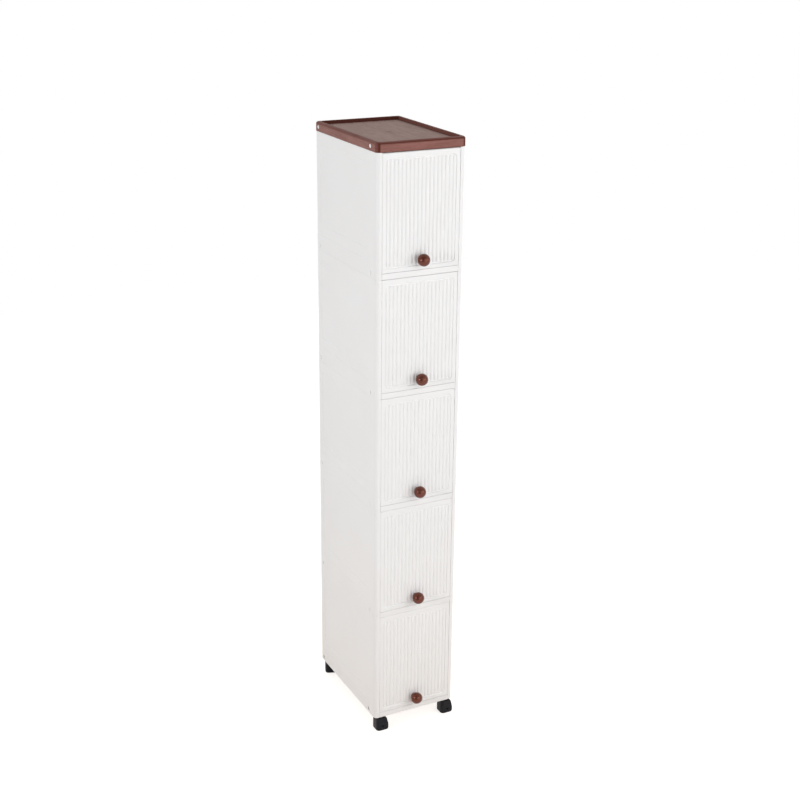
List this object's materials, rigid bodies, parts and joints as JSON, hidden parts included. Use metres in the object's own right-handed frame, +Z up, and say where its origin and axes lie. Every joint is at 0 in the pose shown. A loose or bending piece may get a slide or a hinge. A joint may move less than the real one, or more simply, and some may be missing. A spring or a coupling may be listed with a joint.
{
  "type": "storage tower",
  "caption": "Tall slim white plastic storage tower of stacked modules with reeded flip-up doors and ball knobs, under a brown tray lid, on swivel casters.",
  "frame": {"origin": "on the floor, under the middle of the lid and body", "axes": "+Z up, +X to the right of someone facing the doors, the doors face -Y"},
  "size_m": [0.2, 0.3282, 1.33],
  "materials": {
    "white_plastic": "satin moulded plastic",
    "brown_plastic": "satin, faint wood grain",
    "black_plastic": "satin moulded plastic",
    "wheel_plastic": "matte hard plastic",
    "steel": "plated"
  },
  "bodies": {
    "cabinet": {"base_tray": "white_plastic", "side_left_1": "white_plastic", "side_right_1": "white_plastic", "back_panel_1": "white_plastic", "side_left_2": "white_plastic", "side_right_2": "white_plastic", "back_panel_2": "white_plastic", "shelf_2": "white_plastic", "side_left_3": "white_plastic", "side_right_3": "white_plastic", "back_panel_3": "white_plastic", "shelf_3": "white_plastic", "side_left_4": "white_plastic", "side_right_4": "white_plastic", "back_panel_4": "white_plastic", "shelf_4": "white_plastic", "side_left_5": "white_plastic", "side_right_5": "white_plastic", "back_panel_5": "white_plastic", "shelf_5": "white_plastic", "lid": "brown_plastic", "caster_stem_front_left": "steel", "caster_stem_front_right": "steel", "caster_stem_rear_left": "steel", "caster_stem_rear_right": "steel"},
    "door_1": {"door_1": "white_plastic", "knob_1": "brown_plastic", "knob_screw_1": "steel"},
    "door_2": {"door_2": "white_plastic", "knob_2": "brown_plastic", "knob_screw_2": "steel"},
    "door_3": {"door_3": "white_plastic", "knob_3": "brown_plastic", "knob_screw_3": "steel"},
    "door_4": {"door_4": "white_plastic", "knob_4": "brown_plastic", "knob_screw_4": "steel"},
    "door_5": {"door_5": "white_plastic", "knob_5": "brown_plastic", "knob_screw_5": "steel"},
    "swivel_front_left": {"caster_hood_front_left": "black_plastic", "caster_axle_front_left": "steel"},
    "wheel_front_left": {"caster_wheel_front_left": "wheel_plastic"},
    "swivel_front_right": {"caster_hood_front_right": "black_plastic", "caster_axle_front_right": "steel"},
    "wheel_front_right": {"caster_wheel_front_right": "wheel_plastic"},
    "swivel_rear_left": {"caster_hood_rear_left": "black_plastic", "caster_axle_rear_left": "steel"},
    "wheel_rear_left": {"caster_wheel_rear_left": "wheel_plastic"},
    "swivel_rear_right": {"caster_hood_rear_right": "black_plastic", "caster_axle_rear_right": "steel"},
    "wheel_rear_right": {"caster_wheel_rear_right": "wheel_plastic"}
  },
  "joints": [
    {"name": "door_1_flip", "type": "hinge", "parent": "cabinet", "child": "door_1", "pos_m": [0, -0.1436, 0.2835], "axis": [-1, 0, 0], "range_deg": [0, 100]},
    {"name": "door_2_flip", "type": "hinge", "parent": "cabinet", "child": "door_2", "pos_m": [0, -0.1436, 0.5385], "axis": [-1, 0, 0], "range_deg": [0, 100]},
    {"name": "door_3_flip", "type": "hinge", "parent": "cabinet", "child": "door_3", "pos_m": [0, -0.1436, 0.7935], "axis": [-1, 0, 0], "range_deg": [0, 100]},
    {"name": "door_4_flip", "type": "hinge", "parent": "cabinet", "child": "door_4", "pos_m": [0, -0.1436, 1.0485], "axis": [-1, 0, 0], "range_deg": [0, 100]},
    {"name": "door_5_flip", "type": "hinge", "parent": "cabinet", "child": "door_5", "pos_m": [0, -0.1436, 1.3035], "axis": [-1, 0, 0], "range_deg": [0, 100]},
    {"name": "swivel_front_left_turn", "type": "hinge", "parent": "cabinet", "child": "swivel_front_left", "pos_m": [-0.0823, -0.1374, 0.03], "axis": [0, 0, 1], "continuous": true},
    {"name": "wheel_front_left_roll", "type": "hinge", "parent": "swivel_front_left", "child": "wheel_front_left", "pos_m": [-0.0787, -0.1374, 0.0115], "axis": [0, 1, 0], "continuous": true},
    {"name": "swivel_front_right_turn", "type": "hinge", "parent": "cabinet", "child": "swivel_front_right", "pos_m": [0.0823, -0.1374, 0.03], "axis": [0, 0, 1], "continuous": true},
    {"name": "wheel_front_right_roll", "type": "hinge", "parent": "swivel_front_right", "child": "wheel_front_right", "pos_m": [0.0859, -0.1374, 0.0115], "axis": [0, 1, 0], "continuous": true},
    {"name": "swivel_rear_left_turn", "type": "hinge", "parent": "cabinet", "child": "swivel_rear_left", "pos_m": [-0.0823, 0.1374, 0.03], "axis": [0, 0, 1], "continuous": true},
    {"name": "wheel_rear_left_roll", "type": "hinge", "parent": "swivel_rear_left", "child": "wheel_rear_left", "pos_m": [-0.07894, 0.13611, 0.0115], "axis": [0.3584, 0.9336, 0], "continuous": true},
    {"name": "swivel_rear_right_turn", "type": "hinge", "parent": "cabinet", "child": "swivel_rear_right", "pos_m": [0.0823, 0.1374, 0.03], "axis": [0, 0, 1], "continuous": true},
    {"name": "wheel_rear_right_roll", "type": "hinge", "parent": "swivel_rear_right", "child": "wheel_rear_right", "pos_m": [0.0859, 0.1374, 0.0115], "axis": [0, 1, 0], "continuous": true}
  ]
}
